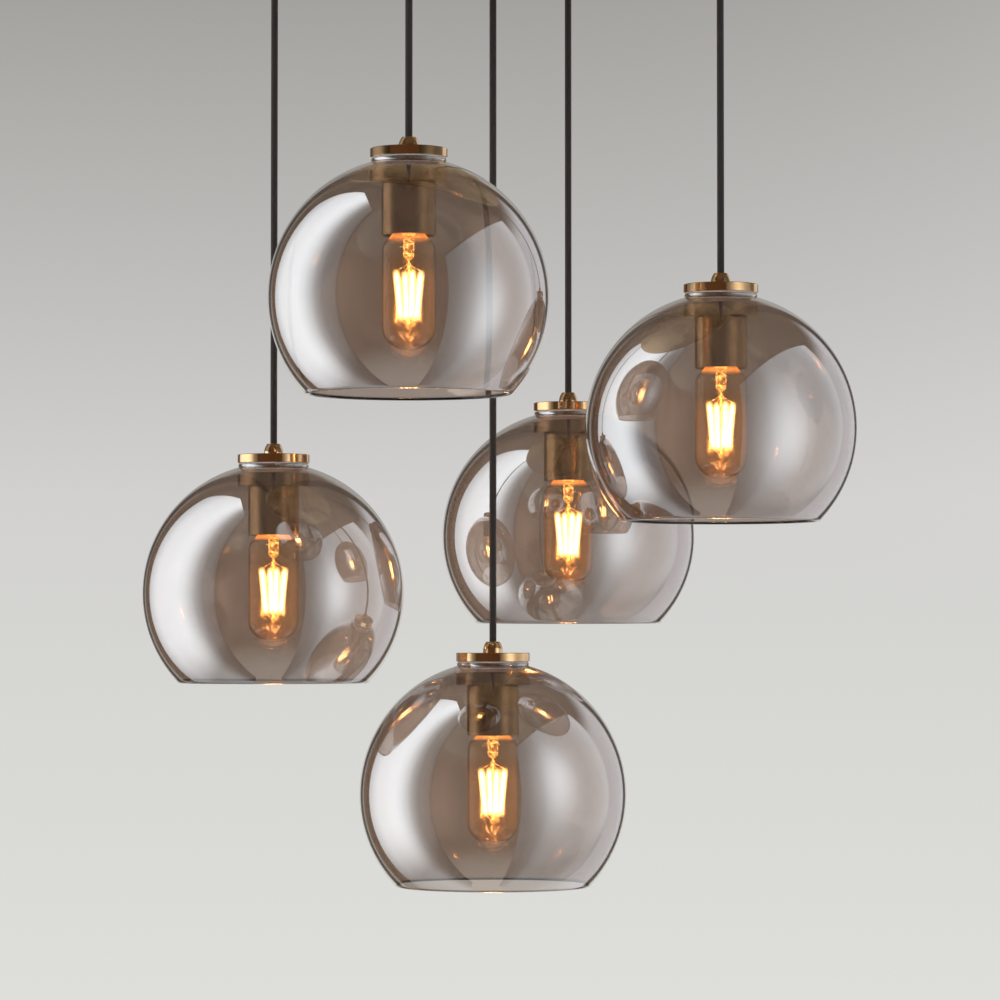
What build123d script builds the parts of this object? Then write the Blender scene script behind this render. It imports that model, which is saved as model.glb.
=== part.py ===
from build123d import *

import os
from math import cos, pi, radians, sin, sqrt, tan

# Cluster pendant: five smoked glass globes, each on its own fabric-covered cord, under one round
# ceiling canopy. Millimetres, +Z up. The origin is the middle of the mounting strap's top face,
# which lies against the ceiling, so everything hangs below it.

# ------------------------------------------------------------------ driving dimensions

# Layout: four pendants on a ring and one at its centre
plan_overlap = 25.0  # how far each outer globe reaches over the centre one, seen from below
ring_turn = -19.5  # degrees from +X to the first outer cord
ring_order = "bdca"  # outer pendants, in equal steps round the ring
drops = {"a": 375.0, "b": 475.0, "c": 613.0, "d": 560.0, "e": 787.0}  # ceiling to globe centre

# Canopy: a spun brass pan with a hem turned inwards against the ceiling
canopy_margin = 30.0  # outer cords to the canopy's edge
canopy_depth = 38.0
canopy_sheet = 1.5
canopy_corner = 6.0
canopy_hem = 8.0

# Mounting strap and what is screwed into it
strap_width = 28.0
strap_thickness = 2.5
strap_end = 15.0  # stud to the strap's end
box_screw_spacing = 88.9  # ceiling box screws, 3 1/2 in
slot_length = 14.0
slot_width = 4.8
stud_spacing = 210.0
stud_diameter = 5.0
stud_sunk = 0.3  # stud's top below the strap's top
stud_in_nut = 6.5  # stud's length inside the cap nut
lock_nut_flats = 8.0
lock_nut_height = 4.0
cap_nut_flange = 14.0
cap_nut_flange_height = 2.0
cap_nut_dome = 11.0
cap_nut_height = 10.0
cap_nut_spare = 1.0  # bore past the stud's end
earth_screw_place = -22.0
earth_screw_diameter = 4.0
earth_screw_head = 8.0
earth_screw_head_height = 3.0
earth_screw_round = 1.0
earth_screw_slot = 1.2  # as wide as it is deep

# Terminal block under the strap
block_place = 75.0  # along the strap from its middle
block_width = 18.0
block_height = 15.0
pole_count = 6
pole_pitch = 11.0
barrier_notch_diameter = 2.4
entry_diameter = 4.6
entry_depth = 6.0
entry_drop = 7.5  # block's top to the wire entries
well_diameter = 5.4
well_depth = 5.0
clamp_screw_diameter = 4.2
clamp_screw_height = 3.0
screw_slot_width = 0.8
screw_slot_depth = 1.0
block_screw_diameter = 3.0
block_screw_head = 5.4
block_screw_head_height = 2.5

# Fabric-covered cord, and the thinner lead that comes out of it above the canopy
cord_diameter = 6.0
lead_diameter = 3.6
jacket_above_grip = 3.0
swing_gap = 0.3  # between the hanging cord and its fixed end above the pivot
cord_end_in_tail = 1.0  # cord's end above the grip's lower mouth

# Bell-shaped cord grip with a threaded tail, used at both ends of each cord
bell_base_diameter = 17.0
bell_top_diameter = 11.4
bell_height = 9.6
bell_foot = 1.2  # straight part at the bell's foot
bell_mouth = 0.6  # chamfer at the cord's way in
tail_diameter = 10.0
canopy_nut_flats = 14.0
canopy_nut_height = 3.5
tail_past_nut = 3.0

# Globe: blown smoked glass, cut open below, with a short neck above
globe_diameter = 230.0
globe_wall = 3.0
globe_rim_drop = 79.0  # centre to the cut rim
rim_round = 1.2
neck_diameter = 62.0
neck_wall = 4.0
neck_height = 2.8  # above the shoulder
neck_round = 0.8

# Turned and spun brass round the neck
cap_diameter = 63.5
cap_height = 7.5
cap_recess_diameter = 50.0
cap_recess_depth = 4.5
cap_chamfer = 0.4
dish_diameter = 63.5
dish_height = 10.2
dish_wall = 2.0
dish_corner = 0.6
cup_diameter = 44.5
cup_height = 43.0
cup_wall = 1.2
cup_corner = 1.0

# Silicone gaskets above and below the neck
upper_gasket_thickness = 1.0
upper_gasket_width = 5.0
lower_gasket_thickness = 3.1  # at the dish's outer edge
lower_gasket_width = 3.0
gasket_inset = 0.5

# Lampholder inside the cup
entry_nut_flats = 17.0
entry_nut_height = 4.0
tail_short_of_nut = 0.5
holder_diameter = 38.0
holder_height = 27.0
holder_roof = 5.0
holder_chamfer = 1.0
screw_shell_wall = 0.8
screw_shell_height = 19.0
screw_shell_below_roof = 1.0
holder_contact_diameter = 9.0
holder_contact_height = 2.0

# Filament bulb with a 26 mm screw base
bulb_diameter = 44.0
bulb_below_cup = 94.0
bulb_wall = 1.0
bulb_shoulder = 17.0
shoulder_ease = 0.45  # share of the shoulder that its curve's handles take at each end
bulb_dome = 18.0
bulb_neck_diameter = 24.8
bulb_neck_in_base = 4.0
base_diameter = 26.1
base_wall = 0.5
base_shell_height = 20.0
base_cone_height = 3.5
base_cone_diameter = 16.0
base_contact_height = 2.0
base_contact_diameter = 9.5
filament_count = 4
filament_diameter = 2.0
filament_top_drop = 30.0  # below the cup's mouth
filament_bottom_drop = 68.0
filament_top_circle = 21.6
filament_bottom_circle = 18.0
filament_turn = 18.0
stem_end_drop = 20.0
stem_diameter = 9.0
stem_flare_height = 10.0
stem_flare_edge = 1.0
stem_taper = 2.0
stem_rod_diameter = 1.6
support_wire_diameter = 0.8
support_rise = 9.0  # slope of the support wires, centre to filament
support_hub_diameter = 4.0
support_hub_height = 1.5

# Clearances
thread_clearance = 0.05  # on a threaded shank's radius
hole_clearance = 0.2  # on a plain hole's radius
cord_clearance = 0.3  # on a cord's radius
shell_clearance = 0.4  # on the bulb base's radius
seat_gap = 0.05  # between curved or fragile faces that seat on each other
overcut = 0.5  # how far a driver slot's cut runs past the screw

# ------------------------------------------------------------------ derived levels and places

ring_radius = globe_diameter - plan_overlap  # canopy centre to each outer cord
canopy_diameter = 2 * (ring_radius + canopy_margin)
canopy_floor = -canopy_depth + canopy_sheet
strap_length = stud_spacing + 2 * strap_end
strap_underside = -strap_thickness
block_underside = strap_underside - block_height
block_length = pole_count * pole_pitch
entry_level = strap_underside - entry_drop
pivot_level = -canopy_depth - bell_height
tail_top = canopy_floor + canopy_nut_height + tail_past_nut
jacket_top = tail_top + jacket_above_grip


def sphere_height(radius, out):
    """Height of a sphere's surface above its centre, at a distance out from its axis."""
    return sqrt(radius**2 - out**2)


# Heights above each globe's centre
globe_outer = globe_diameter / 2
globe_inner = globe_outer - globe_wall
neck_radius = neck_diameter / 2
neck_bore_radius = neck_radius - neck_wall
neck_top = sphere_height(globe_outer, neck_radius) + neck_height
cap_bottom = neck_top + upper_gasket_thickness
cap_top = cap_bottom + cap_height
dish_top = sphere_height(globe_inner, dish_diameter / 2) - lower_gasket_thickness
dish_bottom = dish_top - dish_height
cup_mouth = dish_bottom - cup_height
cup_roof = dish_bottom - cup_wall
holder_top = cup_roof - entry_nut_height
holder_bottom = holder_top - holder_height
holder_contact_bottom = holder_top - holder_roof - holder_contact_height
tail_bottom = holder_top + tail_short_of_nut
base_tip = holder_contact_bottom - seat_gap
base_cone_top = base_tip - base_contact_height
base_shell_top = base_cone_top - base_cone_height
base_bottom = base_shell_top - base_shell_height
bulb_tip = cup_mouth - bulb_below_cup
screw_shell_bore = base_diameter + 2 * shell_clearance
holder_bore = screw_shell_bore + 2 * screw_shell_wall + 2 * seat_gap


def cord_place(letter):
    """Plan position of a pendant's cord."""
    if letter not in ring_order:
        return 0.0, 0.0
    angle = radians(ring_turn + ring_order.index(letter) * 360 / len(ring_order))
    return ring_radius * cos(angle), ring_radius * sin(angle)


def upright(x, y, z, up=1):
    """Vertical plane through (x, y, z). Its own Y runs up, or down where up is -1."""
    return Plane(origin=(x, y, z), x_dir=(1, 0, 0), z_dir=(0, -up, 0))


def level(x, y, z):
    """Level plane through (x, y, z)."""
    return Plane(origin=(x, y, z))


def turn_about(x, y, profile=None):
    """Revolve a profile, or the pending one, about the vertical line through (x, y)."""
    revolve(profile, axis=Axis((x, y, 0), (0, 0, 1)))


def write_node(node, *solids):
    """Label one node's solids and write them to its own file."""
    shape = solids[0] if len(solids) == 1 else Compound(children=list(solids))
    shape.label = node
    export_step(shape, f"parts/{node}.step")


# ------------------------------------------------------------------ shared small pieces


def bell_grip(x, y, seat, up, tail_length):
    """Bell-shaped cord grip, its foot on the seat level and its threaded tail behind it."""
    bore = cord_diameter / 2 + cord_clearance
    with BuildSketch(upright(x, y, seat, up)) as profile:
        with BuildLine():
            foot = Line((bell_base_diameter / 2, 0), (bell_base_diameter / 2, bell_foot))
            TangentArc(foot @ 1, (bell_top_diameter / 2, bell_height), tangent=(0, 1))
            Polyline(
                (bell_top_diameter / 2, bell_height),
                (bore + bell_mouth, bell_height),
                (bore, bell_height - bell_mouth),
                (bore, -tail_length),
                (tail_diameter / 2, -tail_length),
                (tail_diameter / 2, 0),
                foot @ 0,
            )
        make_face()
    turn_about(x, y, profile.sketch)


def hex_nut(x, y, bottom, flats, height, thread_diameter):
    """Plain hexagon nut, its corners eased on both faces."""
    corner = flats / sqrt(3)
    ease = (corner - flats / 2) / 2
    with BuildSketch(level(x, y, bottom)) as hexagon:
        RegularPolygon(radius=flats / 2, side_count=6, major_radius=False)
        Circle(thread_diameter / 2 + thread_clearance, mode=Mode.SUBTRACT)
    with BuildSketch(upright(x, y, bottom)) as blank:
        with BuildLine():
            Polyline(
                (0, 0),
                (corner - ease, 0),
                (corner, ease),
                (corner, height - ease),
                (corner - ease, height),
                (0, height),
                close=True,
            )
        make_face()
    prism = extrude(hexagon.sketch, amount=height, mode=Mode.PRIVATE)
    turned = revolve(blank.sketch, axis=Axis((x, y, 0), (0, 0, 1)), mode=Mode.PRIVATE)
    add(prism & turned)


def rod(start, end, diameter):
    """Round rod between two points."""
    run = Vector(*end) - Vector(*start)
    with BuildSketch(Plane(origin=start, z_dir=run)) as section:
        Circle(diameter / 2)
    extrude(section.sketch, amount=run.length)


# ------------------------------------------------------------------ canopy and mounting


def make_canopy():
    with BuildPart() as canopy:
        with BuildSketch(Plane.XY.offset(-canopy_depth)):
            Circle(canopy_diameter / 2)
        extrude(amount=canopy_depth)
        fillet(canopy.edges().sort_by(Axis.Z)[0], radius=canopy_corner)
        offset(amount=-canopy_sheet, openings=canopy.faces().sort_by(Axis.Z)[-1])
        with BuildSketch(Plane.XY.offset(-canopy_sheet)):
            Circle(canopy_diameter / 2)
            Circle(canopy_diameter / 2 - canopy_hem, mode=Mode.SUBTRACT)
        extrude(amount=canopy_sheet)
        with BuildSketch(Plane.XY.offset(-canopy_depth)):
            with Locations(*[cord_place(letter) for letter in drops]):
                Circle(tail_diameter / 2 + hole_clearance)
            with GridLocations(stud_spacing, 0, 2, 1):
                Circle(stud_diameter / 2 + hole_clearance)
        extrude(amount=canopy_sheet, mode=Mode.SUBTRACT)
    write_node("canopy", canopy.part)


def make_mounting_strap():
    with BuildPart() as mounting_strap:
        with BuildSketch(Plane.XY.offset(strap_underside)):
            SlotOverall(strap_length, strap_width)
            with GridLocations(box_screw_spacing, 0, 2, 1):
                SlotOverall(slot_length, slot_width, mode=Mode.SUBTRACT)
            with GridLocations(stud_spacing, 0, 2, 1):
                Circle(stud_diameter / 2 + thread_clearance, mode=Mode.SUBTRACT)
            with Locations((earth_screw_place, 0)):
                Circle(earth_screw_diameter / 2 + thread_clearance, mode=Mode.SUBTRACT)
            with Locations((block_place, 0)):
                Circle(block_screw_diameter / 2 + thread_clearance, mode=Mode.SUBTRACT)
        extrude(amount=strap_thickness)
    write_node("mounting_strap", mounting_strap.part)


def make_mounting_studs():
    stud_bottom = -canopy_depth - stud_in_nut
    with BuildPart() as mounting_studs:
        for side in (-1, 1):
            x = side * stud_spacing / 2
            with BuildSketch(level(x, 0, stud_bottom)):
                Circle(stud_diameter / 2)
            extrude(amount=-stud_sunk - stud_bottom)
            nut_bottom = strap_underside - lock_nut_height
            hex_nut(x, 0, nut_bottom, lock_nut_flats, lock_nut_height, stud_diameter)
    write_node("mounting_studs", mounting_studs.part)


def make_canopy_nuts():
    """Two domed nuts that hold the canopy up on the studs."""
    bore_radius = stud_diameter / 2 + thread_clearance
    bore_depth = stud_in_nut + cap_nut_spare
    with BuildPart() as canopy_nuts:
        for side in (-1, 1):
            x = side * stud_spacing / 2
            with BuildSketch(upright(x, 0, -canopy_depth, up=-1)):
                with BuildLine():
                    flange = Polyline(
                        (bore_radius, bore_depth),
                        (bore_radius, 0),
                        (cap_nut_flange / 2, 0),
                        (cap_nut_flange / 2, cap_nut_flange_height),
                        (cap_nut_dome / 2, cap_nut_flange_height),
                        (cap_nut_dome / 2, cap_nut_height - cap_nut_dome / 2),
                    )
                    crown = RadiusArc(flange @ 1, (0, cap_nut_height), -cap_nut_dome / 2)
                    Polyline(crown @ 1, (0, bore_depth), flange @ 0)
                make_face()
            turn_about(x, 0)
    write_node("canopy_nuts", canopy_nuts.part)


def make_canopy_cord_grips():
    with BuildPart() as canopy_cord_grips:
        for letter in drops:
            x, y = cord_place(letter)
            bell_grip(x, y, -canopy_depth, -1, tail_top + canopy_depth)
    write_node("canopy_cord_grips", canopy_cord_grips.part)


def make_grip_lock_nuts():
    with BuildPart() as grip_lock_nuts:
        for letter in drops:
            x, y = cord_place(letter)
            hex_nut(x, y, canopy_floor, canopy_nut_flats, canopy_nut_height, tail_diameter)
    write_node("grip_lock_nuts", grip_lock_nuts.part)


def make_terminal_block():
    middle = Plane(origin=(block_place, 0, block_underside))
    with BuildPart() as terminal_block:
        with BuildSketch(middle):
            Rectangle(block_width, block_length)
            # barrier notches between the poles
            with GridLocations(block_width, pole_pitch, 2, pole_count - 1):
                Circle(barrier_notch_diameter / 2, mode=Mode.SUBTRACT)
        extrude(amount=block_height)
        for side in (-1, 1):
            face = Plane(
                origin=(block_place + side * block_width / 2, 0, entry_level),
                x_dir=(0, 1, 0),
                z_dir=(side, 0, 0),
            )
            with BuildSketch(face):
                with GridLocations(pole_pitch, 0, pole_count, 1):
                    Circle(entry_diameter / 2)
            extrude(amount=-entry_depth, mode=Mode.SUBTRACT)
        with BuildSketch(middle):
            with GridLocations(block_width / 2, pole_pitch, 2, pole_count):
                Circle(well_diameter / 2)
        extrude(amount=well_depth, mode=Mode.SUBTRACT)
        with BuildSketch(middle):
            Circle(block_screw_diameter / 2 + hole_clearance)
        extrude(amount=block_height, mode=Mode.SUBTRACT)
    write_node("terminal_block", terminal_block.part)


def slotted_screw(x, y, top, diameter, height):
    """Headless slotted screw, its driver slot facing down."""
    with BuildSketch(level(x, y, top - height)) as shank:
        Circle(diameter / 2)
    with BuildSketch(level(x, y, top - height)) as driver_slot:
        Rectangle(diameter + 2 * overcut, screw_slot_width)
    extrude(shank.sketch, amount=height)
    extrude(driver_slot.sketch, amount=screw_slot_depth, mode=Mode.SUBTRACT)


def make_terminal_screws():
    """The block's twelve clamp screws and the screw that holds it to the strap."""
    clamp_top = block_underside + well_depth
    head_bottom = block_underside - block_screw_head_height
    with BuildPart() as terminal_screws:
        for place in GridLocations(block_width / 2, pole_pitch, 2, pole_count):
            x = block_place + place.position.X
            slotted_screw(x, place.position.Y, clamp_top, clamp_screw_diameter, clamp_screw_height)
        with BuildSketch(level(block_place, 0, head_bottom)):
            Circle(block_screw_head / 2)
        extrude(amount=block_screw_head_height)
        with BuildSketch(level(block_place, 0, block_underside)):
            Circle(block_screw_diameter / 2)
        extrude(amount=-stud_sunk - block_underside)
    write_node("terminal_screws", terminal_screws.part)


def make_earth_screw():
    head_bottom = strap_underside - earth_screw_head_height
    with BuildPart() as earth_screw:
        with BuildSketch(level(earth_screw_place, 0, head_bottom)):
            Circle(earth_screw_head / 2)
        extrude(amount=earth_screw_head_height)
        fillet(earth_screw.edges().sort_by(Axis.Z)[0], radius=earth_screw_round)
        with BuildSketch(level(earth_screw_place, 0, head_bottom)):
            Rectangle(earth_screw_head + 2 * overcut, earth_screw_slot)
        extrude(amount=earth_screw_slot, mode=Mode.SUBTRACT)
        with BuildSketch(level(earth_screw_place, 0, strap_underside)):
            Circle(earth_screw_diameter / 2)
        extrude(amount=strap_thickness - stud_sunk)
    write_node("earth_screw", earth_screw.part)


# Each lead's way over the canopy's floor, between its cord grip and its terminal. The first point
# above the grip and the last, in the block, come from the pieces that they meet.
lead_routes = {
    "a": [
        (-60, -172, -19), (-42, -140, -33), (-14, -106, -34),
        (10, -70, -34), (34, -44, -27), (51, -28, -11),
    ],
    "b": [(176, -58, -20), (150, -50, -33), (118, -42, -33), (106, -27, -22), (98, -17, -11)],
    "c": [
        (-170, 62, -20), (-134, 50, -33), (-86, 44, -34), (-38, 34, -34),
        (8, 36, -34), (36, 27, -25), (52, 17, -11),
    ],
    "d": [
        (60, 170, -20), (44, 138, -33), (38, 96, -34),
        (30, 64, -32), (38, 40, -22), (52, 28, -11),
    ],
    "e": [(16, -6, -13), (38, -11, -20), (54, -6, -11)],
}
# side of the block, and pole
lead_entries = {"a": (-1, 0), "b": (1, 1), "c": (-1, 4), "d": (-1, 5), "e": (-1, 2)}
lead_first_rise = 12.0
lead_in_block = 4.0
bend_share = 0.45  # of the shorter run beside a corner that the corner's arc takes up


def bend_radii(points):
    """The largest arc at each corner of a route that both of its runs have room for."""
    radii = []
    for before, corner, after in zip(points, points[1:], points[2:]):
        arriving = Vector(*corner) - Vector(*before)
        leaving = Vector(*after) - Vector(*corner)
        half_turn = radians(arriving.get_angle(leaving)) / 2
        radii.append(bend_share * min(arriving.length, leaving.length) / tan(half_turn))
    return radii


def make_canopy_leads():
    """Fixed upper ends of the cords in their grips, and the leads that run on to the terminals."""
    with BuildPart() as canopy_leads:
        for letter in drops:
            x, y = cord_place(letter)
            jacket_bottom = pivot_level + cord_diameter / 2 + swing_gap
            with BuildSketch(level(x, y, jacket_bottom)):
                Circle(cord_diameter / 2)
            extrude(amount=jacket_top - jacket_bottom)
            side, pole = lead_entries[letter]
            pole_y = (pole - (pole_count - 1) / 2) * pole_pitch
            block_face = block_place + side * block_width / 2
            points = [
                (x, y, jacket_top),
                (x, y, jacket_top + lead_first_rise),
                *lead_routes[letter],
                (block_face - side * lead_in_block, pole_y, entry_level),
            ]
            radii = bend_radii(points)
            with BuildLine() as route:
                FilletPolyline(*points, radius=radii)
            with BuildSketch(level(x, y, jacket_top)):
                Circle(lead_diameter / 2)
            lead = sweep(path=route.line)
            length = sum(edge.length for edge in route.edges())
            expected = pi * (lead_diameter / 2) ** 2 * length
            print(f"lead {letter}: {length:.0f} long, radii", *[f"{r:.0f}" for r in radii], end="; ")
            print(f"volume over section times length {lead.volume / expected:.3f}")
    write_node("canopy_leads", canopy_leads.part)


# ------------------------------------------------------------------ one pendant
# Each function takes the plan position and the level of the globe's centre.


def make_cord(node, x, y, centre):
    """Hanging cord: from its pivot in the canopy's grip, down to the lampholder's entry."""
    radius = cord_diameter / 2
    bottom = centre + tail_bottom + cord_end_in_tail - pivot_level
    with BuildPart() as cord:
        with BuildSketch(upright(x, y, pivot_level)):
            with BuildLine():
                side = Polyline((0, bottom), (radius, bottom), (radius, 0))
                top = RadiusArc(side @ 1, (0, radius), -radius)
                Line(top @ 1, side @ 0)
            make_face()
        turn_about(x, y)
    write_node(node, cord.part)


def make_cord_grip(node, x, y, centre):
    with BuildPart() as cord_grip:
        bell_grip(x, y, centre + cap_top, 1, cap_top - tail_bottom)
    write_node(node, cord_grip.part)


def make_cap(node, x, y, centre):
    """Turned cap on the neck, hollowed underneath."""
    with BuildPart() as cap:
        with BuildSketch(level(x, y, centre + cap_bottom)):
            Circle(cap_diameter / 2)
        extrude(amount=cap_height)
        chamfer(cap.edges(), length=cap_chamfer)
        with BuildSketch(level(x, y, centre + cap_bottom)):
            Circle(cap_recess_diameter / 2)
        extrude(amount=cap_recess_depth, mode=Mode.SUBTRACT)
        with BuildSketch(level(x, y, centre + cap_bottom)):
            Circle(tail_diameter / 2 + hole_clearance)
        extrude(amount=cap_height, mode=Mode.SUBTRACT)
    write_node(node, cap.part)


def sphere_arc(radius, from_height, out):
    """Arc of a globe's outline, from a level up to a distance out from its axis."""
    start = (sphere_height(radius, from_height), from_height)
    return RadiusArc(start, (out, sphere_height(radius, out)), -radius)


def make_globe(node, x, y, centre):
    """Blown globe: one turned profile, with fire-polished edges at the rim and the neck."""
    with BuildPart() as globe:
        with BuildSketch(upright(x, y, centre)):
            with BuildLine():
                outside = sphere_arc(globe_outer, -globe_rim_drop, neck_radius)
                inside = sphere_arc(globe_inner, -globe_rim_drop, neck_bore_radius)
                Line(outside @ 0, inside @ 0)
                Polyline(
                    outside @ 1,
                    (neck_radius, neck_top),
                    (neck_bore_radius, neck_top),
                    inside @ 1,
                )
            make_face()
        turn_about(x, y)
        fillet(globe.edges().group_by(Axis.Z)[0], radius=rim_round)
        fillet(globe.edges().group_by(Axis.Z)[-1], radius=neck_round)
    write_node(node, globe.part)


def make_gaskets(node, x, y, centre):
    """Flat ring between neck and cap, and a ring under the shoulder that follows its curve."""
    outer = neck_radius - gasket_inset
    with BuildPart() as upper_gasket:
        with BuildSketch(level(x, y, centre + neck_top)):
            Circle(outer)
            Circle(outer - upper_gasket_width, mode=Mode.SUBTRACT)
        extrude(amount=upper_gasket_thickness)
    seal_sphere = globe_inner - seat_gap
    out = dish_diameter / 2 - gasket_inset
    within = out - lower_gasket_width
    with BuildPart() as lower_gasket:
        with BuildSketch(upright(x, y, centre)):
            with BuildLine():
                top = RadiusArc(
                    (out, sphere_height(seal_sphere, out)),
                    (within, sphere_height(seal_sphere, within)),
                    -seal_sphere,
                )
                Polyline(top @ 1, (within, dish_top), (out, dish_top), top @ 0)
            make_face()
        turn_about(x, y)
    write_node(node, upper_gasket.part, lower_gasket.part)


def make_clamp_dish(node, x, y, centre):
    """Spun dish that pulls up under the shoulder and grips the neck against the cap."""
    with BuildPart() as clamp_dish:
        with BuildSketch(level(x, y, centre + dish_bottom)):
            Circle(dish_diameter / 2)
        extrude(amount=dish_height)
        offset(amount=-dish_wall, openings=clamp_dish.faces().sort_by(Axis.Z)[-1])
        fillet(clamp_dish.edges().sort_by(Axis.Z)[0], radius=dish_corner)
        with BuildSketch(level(x, y, centre + dish_bottom)):
            Circle(tail_diameter / 2 + hole_clearance)
        extrude(amount=dish_wall, mode=Mode.SUBTRACT)
    write_node(node, clamp_dish.part)


def make_socket_cup(node, x, y, centre):
    """Drawn cup round the lampholder, open below."""
    with BuildPart() as socket_cup:
        with BuildSketch(level(x, y, centre + cup_mouth)):
            Circle(cup_diameter / 2)
        extrude(amount=cup_height)
        fillet(socket_cup.edges().sort_by(Axis.Z)[-1], radius=cup_corner)
        offset(amount=-cup_wall, openings=socket_cup.faces().sort_by(Axis.Z)[0])
        with BuildSketch(level(x, y, centre + cup_roof)):
            Circle(tail_diameter / 2 + hole_clearance)
        extrude(amount=cup_wall, mode=Mode.SUBTRACT)
    write_node(node, socket_cup.part)


def make_lampholder(node, x, y, centre):
    """Threaded entry, ceramic body, screw shell and centre contact."""
    with BuildPart() as entry_nut:
        hex_nut(x, y, centre + holder_top, entry_nut_flats, entry_nut_height, tail_diameter)
    with BuildPart() as body:
        with BuildSketch(level(x, y, centre + holder_bottom)):
            Circle(holder_diameter / 2)
        extrude(amount=holder_height)
        chamfer(body.edges(), length=holder_chamfer)
        with BuildSketch(level(x, y, centre + holder_bottom)):
            Circle(holder_bore / 2)
        extrude(amount=holder_height - holder_roof, mode=Mode.SUBTRACT)
    shell_top = centre + holder_top - holder_roof - screw_shell_below_roof
    with BuildPart() as screw_shell:
        with BuildSketch(level(x, y, shell_top)):
            Circle(screw_shell_bore / 2 + screw_shell_wall)
            Circle(screw_shell_bore / 2, mode=Mode.SUBTRACT)
        extrude(amount=-screw_shell_height)
    with BuildPart() as contact:
        with BuildSketch(level(x, y, centre + holder_contact_bottom)):
            Circle(holder_contact_diameter / 2)
        extrude(amount=holder_contact_height)
    write_node(node, entry_nut.part, body.part, screw_shell.part, contact.part)


def bulb_outline(inset):
    """Half outline of the bulb's envelope, from the neck to the tip, drawn in by inset."""
    radius = bulb_diameter / 2 - inset
    neck = bulb_neck_diameter / 2 - inset
    shoulder_foot = base_bottom - bulb_shoulder
    handle = shoulder_ease * bulb_shoulder
    dome_centre = bulb_tip + bulb_dome
    neck_line = Line((neck, base_bottom + bulb_neck_in_base), (neck, base_bottom))
    Bezier(
        (neck, base_bottom),
        (neck, base_bottom - handle),
        (radius, shoulder_foot + handle),
        (radius, shoulder_foot),
    )
    Line((radius, shoulder_foot), (radius, dome_centre))
    dome = EllipticalCenterArc(
        (0, dome_centre), radius, bulb_dome - inset, start_angle=270, arc_size=90
    )
    return neck_line @ 0, dome @ 0


def make_bulb_glass(node, x, y, centre):
    """Blown tubular envelope, open only at the neck, where the base is cemented on."""
    with BuildPart() as bulb_glass:
        with BuildSketch(upright(x, y, centre)):
            with BuildLine():
                outer_neck, outer_tip = bulb_outline(0)
                inner_neck, inner_tip = bulb_outline(bulb_wall)
                Line(outer_neck, inner_neck)
                Line(outer_tip, inner_tip)
            make_face()
        turn_about(x, y)
    write_node(node, bulb_glass.part)


def filament_ends(x, y, centre, place):
    """Top and bottom points of one of the bulb's filaments."""
    angle = radians(filament_turn + place * 360 / filament_count)
    ends = []
    for circle, drop in (
        (filament_top_circle, filament_top_drop),
        (filament_bottom_circle, filament_bottom_drop),
    ):
        out = circle / 2
        ends.append((x + out * cos(angle), y + out * sin(angle), centre + cup_mouth - drop))
    return ends


def support_star(x, y, centre, which, side):
    """Hub with one sloping wire to each filament, above (side 1) or below (side -1) them."""
    gap = seat_gap + support_wire_diameter / 2
    tips = [filament_ends(x, y, centre, place)[which] for place in range(filament_count)]
    hub_level = tips[0][2] + side * (gap + support_rise)
    with BuildSketch(level(x, y, hub_level - support_hub_height / 2)) as hub:
        Circle(support_hub_diameter / 2)
    extrude(hub.sketch, amount=support_hub_height)
    for tip in tips:
        rod((tip[0], tip[1], tip[2] + side * 2 * gap), (x, y, hub_level), support_wire_diameter)


def make_bulb_core(node, x, y, centre):
    """Screw base, contact and glass stem, with the filaments and the wires that hold them."""
    base_radius = base_diameter / 2
    cone_radius = base_cone_diameter / 2
    with BuildPart() as base_shell:
        with BuildSketch(upright(x, y, centre)):
            with BuildLine():
                Polyline(
                    (base_radius, base_bottom),
                    (base_radius, base_shell_top),
                    (cone_radius, base_cone_top),
                    (cone_radius - base_wall, base_cone_top),
                    (base_radius - base_wall, base_shell_top - base_wall),
                    (base_radius - base_wall, base_bottom),
                    close=True,
                )
            make_face()
        turn_about(x, y)
    with BuildPart() as contact:
        with BuildSketch(level(x, y, centre + base_cone_top)):
            Circle(cone_radius)
        with BuildSketch(level(x, y, centre + base_tip)):
            Circle(base_contact_diameter / 2)
        loft()
    rod_bottom = cup_mouth - filament_bottom_drop - support_rise
    stem_end = cup_mouth - stem_end_drop
    flare_radius = bulb_neck_diameter / 2 - bulb_wall - seat_gap
    with BuildPart() as stem:
        with BuildSketch(upright(x, y, centre)):
            with BuildLine():
                flare = Line((0, base_bottom), (flare_radius, base_bottom))
                Bezier(
                    flare @ 1,
                    (stem_diameter / 2, base_bottom - stem_flare_edge),
                    (stem_diameter / 2, base_bottom - stem_flare_height),
                )
                Polyline(
                    (stem_diameter / 2, base_bottom - stem_flare_height),
                    (stem_diameter / 2, stem_end + stem_taper),
                    (stem_rod_diameter / 2, stem_end),
                    (stem_rod_diameter / 2, rod_bottom),
                    (0, rod_bottom),
                    flare @ 0,
                )
            make_face()
        turn_about(x, y)
    with BuildPart() as filaments:
        for place in range(filament_count):
            top, bottom = filament_ends(x, y, centre, place)
            rod(bottom, top, filament_diameter)
    with BuildPart() as supports:
        support_star(x, y, centre, 0, 1)
        support_star(x, y, centre, 1, -1)
        with BuildSketch(level(x, y, centre + rod_bottom)):
            Circle(stem_rod_diameter / 2 + seat_gap)
        extrude(amount=stem_end - rod_bottom, mode=Mode.SUBTRACT)
    write_node(node, base_shell.part, contact.part, stem.part, filaments.part, supports.part)


# ------------------------------------------------------------------ build

os.makedirs("parts", exist_ok=True)

make_canopy()
make_mounting_strap()
make_mounting_studs()
make_canopy_nuts()
make_canopy_cord_grips()
make_grip_lock_nuts()
make_terminal_block()
make_terminal_screws()
make_earth_screw()
make_canopy_leads()

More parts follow.
